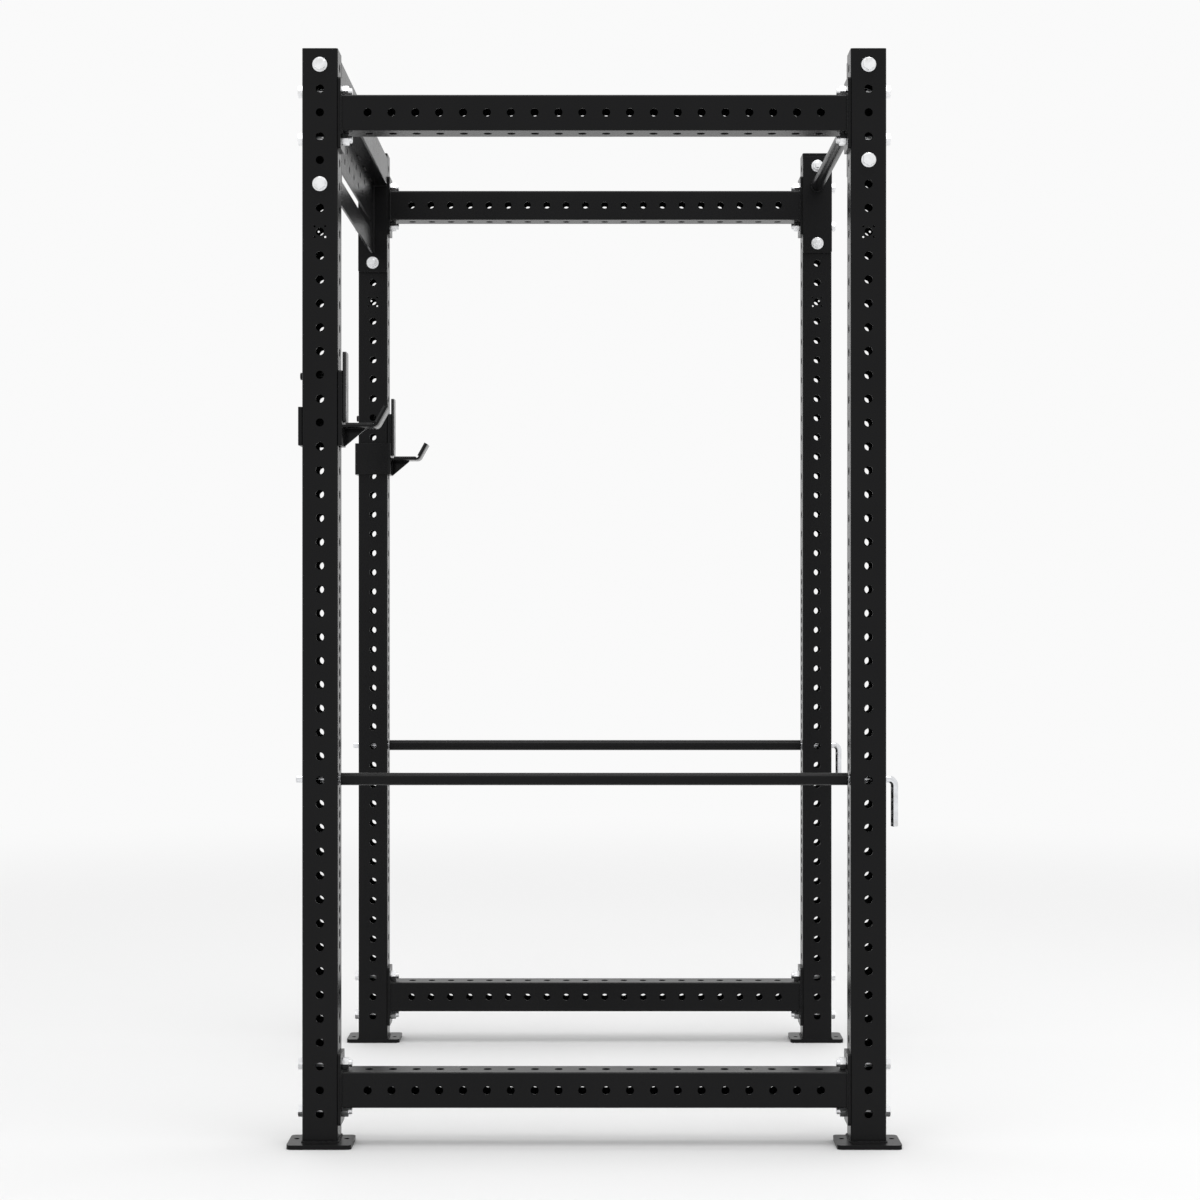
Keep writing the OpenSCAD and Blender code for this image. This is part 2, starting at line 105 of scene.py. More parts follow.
def mixColour(tree, factor, first, second):
    node = addNode(tree, "ShaderNodeMix", data_type="RGBA")
    feed(tree, node.inputs[0], factor)
    feed(tree, node.inputs[6], first)
    feed(tree, node.inputs[7], second)
    return node.outputs[2]


def mixValue(tree, factor, first, second):
    node = addNode(tree, "ShaderNodeMix", data_type="FLOAT")
    feed(tree, node.inputs[0], factor)
    feed(tree, node.inputs[2], first)
    feed(tree, node.inputs[3], second)
    return node.outputs[0]


# shader groups
def newGroup(name, inputs, outputs):
    group = bpy.data.node_groups.new(name, "ShaderNodeTree")
    for label, kind, value in inputs:
        socket = group.interface.new_socket(label, in_out="INPUT", socket_type=kind)
        socket.default_value = value
    for label, kind in outputs:
        group.interface.new_socket(label, in_out="OUTPUT", socket_type=kind)
    return group, addNode(group, "NodeGroupInput"), addNode(group, "NodeGroupOutput")


def useGroup(tree, group, values):
    node = addNode(tree, "ShaderNodeGroup", node_tree=group)
    for label, value in values.items():
        node.inputs[label].default_value = value
    return node


wearLook = {"samples": 4, "detail": 3.0, "patchFrom": 0.42, "patchTo": 0.66, "boost": 6.0}


def makeEdgeWearAndHighlight():
    # a mask of the lines where two faces meet, broken up by noise: edge wear together with a painted
    # highlight along the arrises
    group, start, end = newGroup(
        "edgeWearAndHighlight",
        [("Radius", "NodeSocketFloat", 0.001), ("Amount", "NodeSocketFloat", 0.5),
         ("Breakup", "NodeSocketFloat", 60.0)],
        [("Mask", "NodeSocketFloat")])
    bevel = addNode(group, "ShaderNodeBevel", samples=wearLook["samples"])
    feed(group, bevel.inputs["Radius"], start.outputs["Radius"])
    geometry = addNode(group, "ShaderNodeNewGeometry")
    dot = addNode(group, "ShaderNodeVectorMath", operation="DOT_PRODUCT")
    feed(group, dot.inputs[0], bevel.outputs[0])
    feed(group, dot.inputs[1], geometry.outputs["Normal"])
    edge = mathNode(group, "SUBTRACT", 1.0, dot.outputs["Value"], clamp=True)
    noise = noiseNode(group, objectPlace(group), start.outputs["Breakup"], wearLook["detail"])
    patch = rangeNode(group, noise, wearLook["patchFrom"], wearLook["patchTo"])
    wornAndHighlight = mathNode(group, "MULTIPLY", edge, patch)
    scaled = mathNode(group, "MULTIPLY", wornAndHighlight, start.outputs["Amount"])
    mask = mathNode(group, "MULTIPLY", scaled, wearLook["boost"], clamp=True)
    feed(group, end.inputs["Mask"], mask)
    return group


grainLook = {"driftScale": 5.0, "driftDetail": 4.0}


def makeCoatGrain():
    # orange peel with a finer grit over it, and a slow drift for tone and gloss
    group, start, end = newGroup(
        "coatGrain",
        [("Peel Scale", "NodeSocketFloat", 420.0), ("Grit Scale", "NodeSocketFloat", 1700.0),
         ("Grit Share", "NodeSocketFloat", 0.35)],
        [("Height", "NodeSocketFloat"), ("Drift", "NodeSocketFloat")])
    place = objectPlace(group)
    peel = noiseNode(group, place, start.outputs["Peel Scale"])
    grit = noiseNode(group, place, start.outputs["Grit Scale"])
    drift = noiseNode(group, place, grainLook["driftScale"], grainLook["driftDetail"])
    fine = mathNode(group, "MULTIPLY", grit, start.outputs["Grit Share"])
    feed(group, end.inputs["Height"], mathNode(group, "ADD", peel, fine))
    feed(group, end.inputs["Drift"], drift)
    return group


lineLook = {"detail": 3.0, "patchScale": 70.0, "patchDetail": 4.0}


def makeDrawnLines():
    # long fine lines left by drawing or turning, stretched by the scale given for each axis
    group, start, end = newGroup(
        "drawnLines",
        [("Scale", "NodeSocketVector", (4.0, 900.0, 900.0))],
        [("Lines", "NodeSocketFloat"), ("Patches", "NodeSocketFloat")])
    place = objectPlace(group)
    stretch = addNode(group, "ShaderNodeVectorMath", operation="MULTIPLY")
    feed(group, stretch.inputs[0], place)
    feed(group, stretch.inputs[1], start.outputs["Scale"])
    lines = noiseNode(group, stretch.outputs[0], 1.0, lineLook["detail"])
    patches = noiseNode(group, place, lineLook["patchScale"], lineLook["patchDetail"])
    feed(group, end.inputs["Lines"], lines)
    feed(group, end.inputs["Patches"], patches)
    return group


dustLook = {"slopeFrom": 0.6, "slopeTo": 1.0, "scale": 34.0, "detail": 6.0}


def makeSettledDust():
    # a thin film on faces that look up
    group, start, end = newGroup(
        "settledDust", [("Amount", "NodeSocketFloat", 0.2)], [("Mask", "NodeSocketFloat")])
    geometry = addNode(group, "ShaderNodeNewGeometry")
    split = addNode(group, "ShaderNodeSeparateXYZ")
    feed(group, split.inputs[0], geometry.outputs["Normal"])
    up = rangeNode(group, split.outputs["Z"], dustLook["slopeFrom"], dustLook["slopeTo"])
    noise = noiseNode(group, objectPlace(group), dustLook["scale"], dustLook["detail"])
    film = mathNode(group, "MULTIPLY", up, noise)
    mask = mathNode(group, "MULTIPLY", film, start.outputs["Amount"], clamp=True)
    feed(group, end.inputs["Mask"], mask)
    return group


def makeSoftArris():
    # softens the light on the arrises, as a coat of paint does
    group, start, end = newGroup(
        "softArris", [("Radius", "NodeSocketFloat", 0.001)], [("Normal", "NodeSocketVector")])
    bevel = addNode(group, "ShaderNodeBevel", samples=wearLook["samples"])
    feed(group, bevel.inputs["Radius"], start.outputs["Radius"])
    feed(group, end.inputs["Normal"], bevel.outputs[0])
    return group


edgeWearAndHighlight = makeEdgeWearAndHighlight()
coatGrain = makeCoatGrain()
drawnLines = makeDrawnLines()
settledDust = makeSettledDust()
softArris = makeSoftArris()


def bareMaterial(name):
    material = bpy.data.materials.new(name)
    material.use_nodes = True
    tree = material.node_tree
    return material, tree, tree.nodes["Principled BSDF"]


def roughenFrom(tree, shader, height, look):
    # bump over softened arrises, on the shader's own normal
    under = useGroup(tree, softArris, {"Radius": look["arris"]})
    bump = addNode(tree, "ShaderNodeBump")
    bump.inputs["Distance"].default_value = look["depth"]
    bump.inputs["Strength"].default_value = look["strength"]
    feed(tree, bump.inputs["Height"], height)
    feed(tree, bump.inputs["Normal"], under.outputs["Normal"])
    feed(tree, shader.inputs["Normal"], bump.outputs[0])


# materials
powderFinish = {
    "colour": (0.0046, 0.0046, 0.005, 1), "paler": (0.0080, 0.0080, 0.0084, 1),
    "wornAndHighlight": (0.06, 0.06, 0.062, 1), "dusty": (0.12, 0.118, 0.114, 1),
    "gloss": 0.22, "drift": 0.08, "dustyGloss": 0.85, "specular": 0.12,
    "wear": 0.22, "wearRadius": 0.0009, "dust": 0.10,
    "peel": 430.0, "grit": 1900.0, "arris": 0.0012, "depth": 0.00016, "strength": 0.8,
}


def powderCoat(name, **changes):
    look = {**powderFinish, **changes}
    material, tree, shader = bareMaterial(name)
    grain = useGroup(tree, coatGrain, {"Peel Scale": look["peel"], "Grit Scale": look["grit"]})
    edge = useGroup(tree, edgeWearAndHighlight, {"Radius": look["wearRadius"], "Amount": look["wear"]})
    film = useGroup(tree, settledDust, {"Amount": look["dust"]})
    tone = mixColour(tree, grain.outputs["Drift"], look["colour"], look["paler"])
    # paler arrises: edge wear and a painted highlight
    tone = mixColour(tree, edge.outputs["Mask"], tone, look["wornAndHighlight"])
    tone = mixColour(tree, film.outputs["Mask"], tone, look["dusty"])
    feed(tree, shader.inputs["Base Color"], tone)
    rough = mixValue(tree, grain.outputs["Drift"], look["gloss"], look["gloss"] + look["drift"])
    rough = mixValue(tree, film.outputs["Mask"], rough, look["dustyGloss"])
    feed(tree, shader.inputs["Roughness"], rough)
    shader.inputs["Specular IOR Level"].default_value = look["specular"]
    roughenFrom(tree, shader, grain.outputs["Height"], look)
    return material


zincFinish = {
    "bright": (0.95, 0.955, 0.965, 1), "dull": (0.80, 0.81, 0.835, 1),
    "stain": (0.70, 0.66, 0.56, 1), "stainShare": 0.35, "stainFall": 3.0,
    "patchFrom": 0.35, "patchTo": 0.75, "wear": 0.25, "wearRadius": 0.0006,
    "gloss": 0.24, "dullGloss": 0.42, "arris": 0.0006, "depth": 0.00003, "strength": 0.35,
}


def zincPlate(name, scale, **changes):
    look = {**zincFinish, **changes}
    material, tree, shader = bareMaterial(name)
    lines = useGroup(tree, drawnLines, {"Scale": scale})
    edge = useGroup(tree, edgeWearAndHighlight, {"Radius": look["wearRadius"], "Amount": look["wear"]})
    patch = rangeNode(tree, lines.outputs["Patches"], look["patchFrom"], look["patchTo"])
    yellowed = mathNode(tree, "POWER", patch, look["stainFall"])
    tone = mixColour(tree, patch, look["bright"], look["dull"])
    tone = mixColour(tree, mathNode(tree, "MULTIPLY", yellowed, look["stainShare"]), tone,
                     look["stain"])
    # brighter arrises: edge wear and a painted highlight
    tone = mixColour(tree, edge.outputs["Mask"], tone, look["bright"])
    feed(tree, shader.inputs["Base Color"], tone)
    shader.inputs["Metallic"].default_value = 1.0
    rough = mixValue(tree, lines.outputs["Lines"], look["gloss"], look["dullGloss"])
    feed(tree, shader.inputs["Roughness"], rough)
    roughenFrom(tree, shader, lines.outputs["Lines"], look)
    return material


plasticFinish = {
    "colour": (0.006, 0.006, 0.0064, 1), "paler": (0.012, 0.012, 0.0125, 1),
    "scuffed": (0.09, 0.09, 0.092, 1), "wornAndHighlight": (0.06, 0.06, 0.062, 1),
    "scuffs": 0.35, "scuffScale": (700.0, 700.0, 22.0), "scuffFrom": 0.62, "scuffTo": 0.74,
    "wear": 0.3, "wearRadius": 0.0008, "wearBreakup": 140.0,
    "gloss": 0.17, "drift": 0.14, "specular": 0.34,
    "grain": 300.0, "gritTimes": 3.5, "gritShare": 0.6,
    "arris": 0.0012, "depth": 0.00003, "strength": 0.6,
}


def mouldedPlastic(name, **changes):
    look = {**plasticFinish, **changes}
    material, tree, shader = bareMaterial(name)
    grain = useGroup(tree, coatGrain, {"Peel Scale": look["grain"],
                                       "Grit Scale": look["grain"] * look["gritTimes"],
                                       "Grit Share": look["gritShare"]})
    edge = useGroup(tree, edgeWearAndHighlight, {"Radius": look["wearRadius"], "Amount": look["wear"],
                                     "Breakup": look["wearBreakup"]})
    lines = useGroup(tree, drawnLines, {"Scale": look["scuffScale"]})
    scratch = rangeNode(tree, lines.outputs["Lines"], look["scuffFrom"], look["scuffTo"])
    scuffed = mathNode(tree, "MULTIPLY", scratch, look["scuffs"], clamp=True)
    tone = mixColour(tree, grain.outputs["Drift"], look["colour"], look["paler"])
    tone = mixColour(tree, scuffed, tone, look["scuffed"])
    # paler arrises: edge wear and a painted highlight
    tone = mixColour(tree, edge.outputs["Mask"], tone, look["wornAndHighlight"])
    feed(tree, shader.inputs["Base Color"], tone)
    rough = mixValue(tree, grain.outputs["Drift"], look["gloss"], look["gloss"] + look["drift"])
    feed(tree, shader.inputs["Roughness"], rough)
    shader.inputs["Specular IOR Level"].default_value = look["specular"]
    roughenFrom(tree, shader, grain.outputs["Height"], look)
    return material


# one finish for each material slot of the record
finishes = {
    "frame_black": powderCoat("framePowderCoat"),
    "bar_black": powderCoat("barPowderCoat", wear=0.15, peel=520.0, gloss=0.26),
    "pipe_black": powderCoat("pipePowderCoat", wear=0.3, peel=380.0),
    "jcup_black": powderCoat("jcupPowderCoat", wear=0.35, dust=0.05, gloss=0.15),
    "zinc_hardware": zincPlate("zincHardware", (260.0, 260.0, 260.0)),
    "zinc_rod": zincPlate(
        "zincRod", (5.0, 1100.0, 1100.0), strength=0.6, gloss=0.10, dullGloss=0.24,
        bright=(0.80, 0.81, 0.83, 1), dull=(0.62, 0.63, 0.66, 1)),
    "screw_steel": zincPlate("screwSteel", (500.0, 500.0, 500.0), bright=(0.6, 0.6, 0.62, 1)),
    "liner_plastic": mouldedPlastic("linerPolyethylene"),
    "cap_plastic": mouldedPlastic(
        "capPlastic", colour=(0.010, 0.010, 0.010, 1), paler=(0.016, 0.016, 0.016, 1),
        gloss=0.52, grain=900.0, depth=0.00006, scuffs=0.0),
}
weldPaint = powderCoat("weldPowderCoat", wear=0.1, peel=600.0, gloss=0.24)

for row in frame["record"]["subparts"]:
    mesh = frame["nodes"][row["node"]].data
    mesh.materials.clear()
    mesh.materials.append(finishes[row["material_slot"]])
print("materials made:", len(finishes) + 1)


# making pieces
def linkPiece(name, mesh, body):
    piece = bpy.data.objects.new(name, mesh)
    scene.collection.objects.link(piece)
    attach(piece, body)
    return piece


def bakeModifiers(holder, name):
    # turns a holder object with modifiers into a plain mesh and throws the holder away
    depsgraph = bpy.context.evaluated_depsgraph_get()
    mesh = bpy.data.meshes.new_from_object(holder.evaluated_get(depsgraph))
    mesh.name = name
    holder.modifiers.clear()
    bpy.data.objects.remove(holder)
    return mesh


mergeDistance = 0.00001


def mergedCopy(node):
    # a working copy of a CAD node's shape, its loose triangles joined
    work = bmesh.new()
    work.from_mesh(frame["nodes"][node].data)
    bmesh.ops.remove_doubles(work, verts=work.verts, dist=mergeDistance)
    return work


# J-cups, with their arrises rounded over: slot and rounding of each piece
jcupPieces = {
    "bracket": ("jcup_black", 0.0012), "hook": ("jcup_black", 0.0012),
    "gusset": ("jcup_black", 0.0008), "face_liner": ("liner_plastic", 0.0015),
    "shelf_liner": ("liner_plastic", 0.0008), "lip_liner": ("liner_plastic", 0.0008)}
softening = {"steps": 2, "flatAngle": radians(1), "foldAngle": radians(35)}


def softenedCopy(node, name, body, slotName, arris):
    work = mergedCopy(node)
    bmesh.ops.dissolve_limit(work, angle_limit=softening["flatAngle"], verts=work.verts,
                             edges=work.edges)
    mesh = bpy.data.meshes.new(name)
    work.to_mesh(mesh)
    work.free()
    holder = bpy.data.objects.new(name + "Holder", mesh)
    scene.collection.objects.link(holder)
    bevel = holder.modifiers.new("arris", "BEVEL")
    bevel.width = arris
    bevel.segments = softening["steps"]
    bevel.limit_method = "ANGLE"
    bevel.angle_limit = softening["foldAngle"]
    bevel.use_clamp_overlap = True
    mesh = bakeModifiers(holder, name)
    mesh.shade_smooth()
    mesh.set_sharp_from_angle(angle=softening["foldAngle"])
    mesh.materials.clear()
    mesh.materials.append(finishes[slotName])
    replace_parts(linkPiece(name, mesh, body), node)


for side in sides:
    for part, (slotName, arris) in jcupPieces.items():
        label = side + "Jcup" + part.title().replace("_", "")
        softenedCopy(f"{side}_jcup_{part}", label, side + "_jcup", slotName, arris)
print("J-cups softened")


# geometry node trees
def newTree(name, inputs):
    tree = bpy.data.node_groups.new(name, "GeometryNodeTree")
    tree.interface.new_socket("Geometry", in_out="INPUT", socket_type="NodeSocketGeometry")
    for label, kind, value in inputs:
        socket = tree.interface.new_socket(label, in_out="INPUT", socket_type=kind)
        if value is not None:
            socket.default_value = value
    tree.interface.new_socket("Geometry", in_out="OUTPUT", socket_type="NodeSocketGeometry")
    return tree, addNode(tree, "NodeGroupInput"), addNode(tree, "NodeGroupOutput")


def finishTree(tree, start, end, instances):
    realize = addNode(tree, "GeometryNodeRealizeInstances")
    paint = addNode(tree, "GeometryNodeSetMaterial")
    feed(tree, realize.inputs[0], instances)
    feed(tree, paint.inputs["Geometry"], realize.outputs[0])
    feed(tree, paint.inputs["Material"], start.outputs["Material"])
    feed(tree, end.inputs[0], paint.outputs[0])


def runTree(tree, holder, name, values):
    scene.collection.objects.link(holder)
    modifier = holder.modifiers.new("tree", "NODES")
    modifier.node_group = tree
    for item in tree.interface.items_tree:
        if item.in_out == "INPUT" and item.name in values:
            modifier[item.identifier] = values[item.name]
    return bakeModifiers(holder, name)


puddleShape = {"segments": 8, "rings": 5, "smallest": 0.86, "largest": 1.12}


def makeWeldTree():
    # a row of overlapping, slightly uneven puddles along every spline
    tree, start, end = newTree("weldBead", [
        ("Spacing", "NodeSocketFloat", 0.0034), ("Width", "NodeSocketFloat", 0.0062),
        ("Length", "NodeSocketFloat", 0.0058), ("Seed", "NodeSocketInt", 4),
        ("Material", "NodeSocketMaterial", None)])
    points = addNode(tree, "GeometryNodeCurveToPoints", mode="LENGTH")
    feed(tree, points.inputs["Curve"], start.outputs["Geometry"])
    feed(tree, points.inputs["Length"], start.outputs["Spacing"])
    puddle = addNode(tree, "GeometryNodeMeshUVSphere")
    puddle.inputs["Segments"].default_value = puddleShape["segments"]
    puddle.inputs["Rings"].default_value = puddleShape["rings"]
    puddle.inputs["Radius"].default_value = 0.5  # so that the scale is its width
    smooth = addNode(tree, "GeometryNodeSetShadeSmooth")
    feed(tree, smooth.inputs["Geometry"], puddle.outputs["Mesh"])
    size = addNode(tree, "ShaderNodeCombineXYZ")
    feed(tree, size.inputs["X"], start.outputs["Width"])
    feed(tree, size.inputs["Y"], start.outputs["Width"])
    feed(tree, size.inputs["Z"], start.outputs["Length"])
    wobble = addNode(tree, "FunctionNodeRandomValue", data_type="FLOAT")
    wobble.inputs[2].default_value = puddleShape["smallest"]
    wobble.inputs[3].default_value = puddleShape["largest"]
    feed(tree, wobble.inputs["Seed"], start.outputs["Seed"])
    scaled = addNode(tree, "ShaderNodeVectorMath", operation="SCALE")
    feed(tree, scaled.inputs[0], size.outputs[0])
    feed(tree, scaled.inputs["Scale"], wobble.outputs[1])
    place = addNode(tree, "GeometryNodeInstanceOnPoints")
    feed(tree, place.inputs["Points"], points.outputs["Points"])
    feed(tree, place.inputs["Instance"], smooth.outputs[0])
    feed(tree, place.inputs["Rotation"], points.outputs["Rotation"])
    feed(tree, place.inputs["Scale"], scaled.outputs[0])
    finishTree(tree, start, end, place.outputs[0])
    return tree


def placeFacing(tree, start, end, shape):
    # one copy of the shape on each point, its Z turned to the facing stored there
    facing = addNode(tree, "GeometryNodeInputNamedAttribute", data_type="FLOAT_VECTOR")
    facing.inputs["Name"].default_value = "facing"
    turn = addNode(tree, "FunctionNodeAlignRotationToVector", axis="Z")
    feed(tree, turn.inputs["Vector"], facing.outputs[0])
    place = addNode(tree, "GeometryNodeInstanceOnPoints")
    feed(tree, place.inputs["Points"], start.outputs["Geometry"])
    feed(tree, place.inputs["Instance"], shape)
    feed(tree, place.inputs["Rotation"], turn.outputs[0])
    finishTree(tree, start, end, place.outputs[0])


ridgeShape = {"stepsPerTurn": 22, "sides": 4}


def makeThreadTree():
    # a helical ridge round the end of each bolt
    tree, start, end = newTree("threadRidge", [
        ("Radius", "NodeSocketFloat", 0.0079), ("Pitch", "NodeSocketFloat", 0.0023),
        ("Turns", "NodeSocketFloat", 2.6), ("Ridge", "NodeSocketFloat", 0.00062),
        ("Material", "NodeSocketMaterial", None)])
    helix = addNode(tree, "GeometryNodeCurveSpiral")
    helix.inputs["Resolution"].default_value = ridgeShape["stepsPerTurn"]
    feed(tree, helix.inputs["Rotations"], start.outputs["Turns"])
    feed(tree, helix.inputs["Start Radius"], start.outputs["Radius"])
    feed(tree, helix.inputs["End Radius"], start.outputs["Radius"])
    rise = mathNode(tree, "MULTIPLY", start.outputs["Turns"], start.outputs["Pitch"])
    feed(tree, helix.inputs["Height"], rise)
    profile = addNode(tree, "GeometryNodeCurvePrimitiveCircle")
    profile.inputs["Resolution"].default_value = ridgeShape["sides"]
    feed(tree, profile.inputs["Radius"], start.outputs["Ridge"])
    ridge = addNode(tree, "GeometryNodeCurveToMesh")
    feed(tree, ridge.inputs["Curve"], helix.outputs[0])
    feed(tree, ridge.inputs["Profile Curve"], profile.outputs[0])
    ridge.inputs["Fill Caps"].default_value = True
    placeFacing(tree, start, end, ridge.outputs[0])
    return tree


rimShape = {"sides": 24, "bands": 2}


def makeRimTree():
    # the low rounded lip that paint leaves round a punched hole
    tree, start, end = newTree("paintedRim", [
        ("Hole Radius", "NodeSocketFloat", 0.00875), ("Lip Width", "NodeSocketFloat", 0.0009),
        ("Lip Height", "NodeSocketFloat", 0.00022), ("Material", "NodeSocketMaterial", None)])
    radius = start.outputs["Hole Radius"]
    ring = addNode(tree, "GeometryNodeMeshCylinder", fill_type="NONE")
    ring.inputs["Vertices"].default_value = rimShape["sides"]
    ring.inputs["Side Segments"].default_value = rimShape["bands"]
    feed(tree, ring.inputs["Radius"], radius)
    feed(tree, ring.inputs["Depth"], start.outputs["Lip Width"])
    position = addNode(tree, "GeometryNodeInputPosition")
    split = addNode(tree, "ShaderNodeSeparateXYZ")
    feed(tree, split.inputs[0], position.outputs[0])
    # the cylinder's height becomes distance outward, and its middle ring is lifted
    half = mathNode(tree, "MULTIPLY", start.outputs["Lip Width"], 0.5)
    reach = mathNode(tree, "ADD", split.outputs["Z"], half)
    grow = mathNode(tree, "DIVIDE", mathNode(tree, "ADD", radius, reach), radius)
    offset = mathNode(tree, "DIVIDE", mathNode(tree, "ABSOLUTE", split.outputs["Z"]), half)
    lift = mathNode(tree, "MULTIPLY", mathNode(tree, "SUBTRACT", 1.0, offset),
                    start.outputs["Lip Height"])
    flattened = addNode(tree, "ShaderNodeCombineXYZ")
    feed(tree, flattened.inputs["X"], mathNode(tree, "MULTIPLY", split.outputs["X"], grow))
    feed(tree, flattened.inputs["Y"], mathNode(tree, "MULTIPLY", split.outputs["Y"], grow))
    feed(tree, flattened.inputs["Z"], lift)
    shape = addNode(tree, "GeometryNodeSetPosition")
    feed(tree, shape.inputs["Geometry"], ring.outputs["Mesh"])
    feed(tree, shape.inputs["Position"], flattened.outputs[0])
    smooth = addNode(tree, "GeometryNodeSetShadeSmooth")
    feed(tree, smooth.inputs["Geometry"], shape.outputs[0])
    placeFacing(tree, start, end, smooth.outputs[0])
    return tree


weldTree = makeWeldTree()
threadTree = makeThreadTree()
rimTree = makeRimTree()


def spotHolder(name, spots):
    # a cloud of points, each with the way it faces
    mesh = bpy.data.meshes.new(name)
    mesh.from_pydata([place for place, way in spots], [], [])
    facing = mesh.attributes.new("facing", "FLOAT_VECTOR", "POINT")
    for item, (place, way) in zip(facing.data, spots):
        item.vector = way
    return bpy.data.objects.new(name, mesh)


def pathHolder(name, paths):
    # one curve object with a straight-edged spline for each path: (points, closed)
    curve = bpy.data.curves.new(name, "CURVE")
    curve.dimensions = "3D"
    for points, closed in paths:
        spline = curve.splines.new("POLY")
        spline.points.add(len(points) - 1)
        for target, point in zip(spline.points, points):
            target.co = (*point, 1)
        spline.use_cyclic_u = closed
    return bpy.data.objects.new(name, curve)


# welds
weld = {"spacing": 0.0034, "width": 0.0062, "length": 0.0058, "seed": 4, "sink": 0.0004,
        "nutRoom": 0.015, "cornerRadius": 0.005, "cornerSteps": 6, "ringSteps": 36,
        "footGap": 0.002, "edgeGap": 0.004, "panelGap": 0.003, "panelFoot": 0.006,
        "stitch": 0.045, "stitchPitch": 0.15}
jcupWeld = {"spacing": 0.0026, "width": 0.0048, "length": 0.0044, "edgeGap": 0.004,
            "gussetGap": 0.003}


def layWelds(name, paths, sizes, body):
    values = {"Spacing": sizes["spacing"], "Width": sizes["width"], "Length": sizes["length"],
              "Seed": weld["seed"], "Material": weldPaint}
    mesh = runTree(weldTree, pathHolder(name + "Paths", paths), name, values)
    linkPiece(name, mesh, body)


def tubePath(halfWidth, gap, sign, toPlace):
    # from one face of a square tube, round two corners and back to the opposite face
    radius = weld["cornerRadius"]
    steps = weld["cornerSteps"]
    inner = halfWidth - radius
    path = [toPlace(sign * gap, halfWidth)]
    for start, centre in ((pi / 2, inner), (0, -inner)):
        for i in range(steps + 1):
            angle = start - i * pi / (2 * steps)
            path.append(toPlace(sign * (inner + radius * cos(angle)), centre + radius * sin(angle)))
    path.append(toPlace(sign * gap, -halfWidth))
    return path


def crossmemberPaths():
    # two beads at each end of a crossmember, clear of the nuts above and below
    paths = []
    for node in crossmembers:
        low, high, mid = boxOf(node)
        half = (high.z - low.z) / 2
        for x, inward in ((low.x, 1), (high.x, -1)):
            for sign in (-1, 1):
                path = tubePath(half, weld["nutRoom"], sign, lambda u, v: (
                    x + inward * weld["sink"], mid.y + u, mid.z + v))
                paths.append((path, False))
    return paths


def footPaths():
    # round the foot of each upright on its outer three sides
    paths = []
    for corner in corners:
        low, high, mid = boxOf(corner + "_upright")
        half = (high.x - low.x) / 2
        outward = -1 if mid.y < 0 else 1
        path = tubePath(half, weld["footGap"] - half, outward, lambda u, v: (
            mid.x + v, mid.y + u, low.z + weld["sink"]))
        paths.append((path, False))
    return paths


def panelPaths():
    # the front tube and its panel to their end flanges, then short stitches between them
    beamLow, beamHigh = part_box("front_beam")
    low, high, mid = boxOf("front_panel")
    paths = []
    for end, inward in ((beamLow.y, 1), (beamHigh.y, -1)):
        y = end + inward * weld["sink"]
        paths.append(([(beamLow.x + weld["edgeGap"], y, beamLow.z),
                       (low.x - weld["panelGap"], y, beamLow.z)], False))
        paths.append(([(high.x + weld["panelGap"], y, beamLow.z),
                       (beamHigh.x - weld["edgeGap"], y, beamLow.z)], False))
        for x in (low.x, high.x):
            paths.append(([(x, y, low.z + weld["panelFoot"]),
                           (x, y, high.z - weld["panelGap"])], False))
    stitches = int((high.y - low.y) / weld["stitchPitch"])
    for i in range(stitches):
        y = mid.y + (i - (stitches - 1) / 2) * weld["stitchPitch"]
        for x in (low.x, high.x):
            paths.append(([(x, y - weld["stitch"] / 2, high.z),
                           (x, y + weld["stitch"] / 2, high.z)], False))
    return paths


def barPaths():
    # a ring round each end of the pull-up bar
    low, high, mid = boxOf("pull_up_bar")
    radius = (high.x - low.x) / 2
    angles = [2 * pi * i / weld["ringSteps"] for i in range(weld["ringSteps"])]
    paths = []
    for y, inward in ((low.y, 1), (high.y, -1)):
        ring = [(mid.x + radius * cos(angle), y + inward * weld["sink"],
                 mid.z + radius * sin(angle)) for angle in angles]
        paths.append((ring, True))
    return paths


def jcupPaths(side):
    # the hook to its front plate, and the gusset to both
    hookLow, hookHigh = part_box(f"{side}_jcup_hook")
    gussetLow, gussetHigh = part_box(f"{side}_jcup_gusset")
    edge, clear = jcupWeld["edgeGap"], jcupWeld["gussetGap"]
    x, z = hookLow.x, gussetHigh.z
    paths = [([(x, hookLow.y + edge, z), (x, gussetLow.y - clear, z)], False),
             ([(x, gussetHigh.y + clear, z), (x, hookHigh.y - edge, z)], False)]
    for y in (gussetLow.y, gussetHigh.y):
        paths.append(([(x + edge, y, z), (gussetHigh.x - edge, y, z)], False))
        paths.append(([(x, y, z - edge), (x, y, gussetLow.z + edge)], False))
    return paths


layWelds("frameWelds", crossmemberPaths() + footPaths() + panelPaths() + barPaths(), weld,
         "frame")
for side in sides:
    layWelds(side + "JcupWelds", jcupPaths(side), jcupWeld, side + "_jcup")
print("welds laid")


# bolt threads
thread = {"radius": 0.00772, "pitch": 0.00231, "turns": 2.4, "ridge": 0.0006, "fromEnd": 0.0065}


def looseParts(work):
    # the vertex places of each separate solid in a mesh
    seen = set()
    parts = []
    for first in work.verts:
        if first.index in seen:
            continue
        stack, part = [first], []
        seen.add(first.index)
        while stack:
            vert = stack.pop()
            part.append(vert.co.copy())
            for edge in vert.link_edges:
                other = edge.other_vert(vert)
                if other.index not in seen:
                    seen.add(other.index)
                    stack.append(other)
        parts.append(part)
    return parts


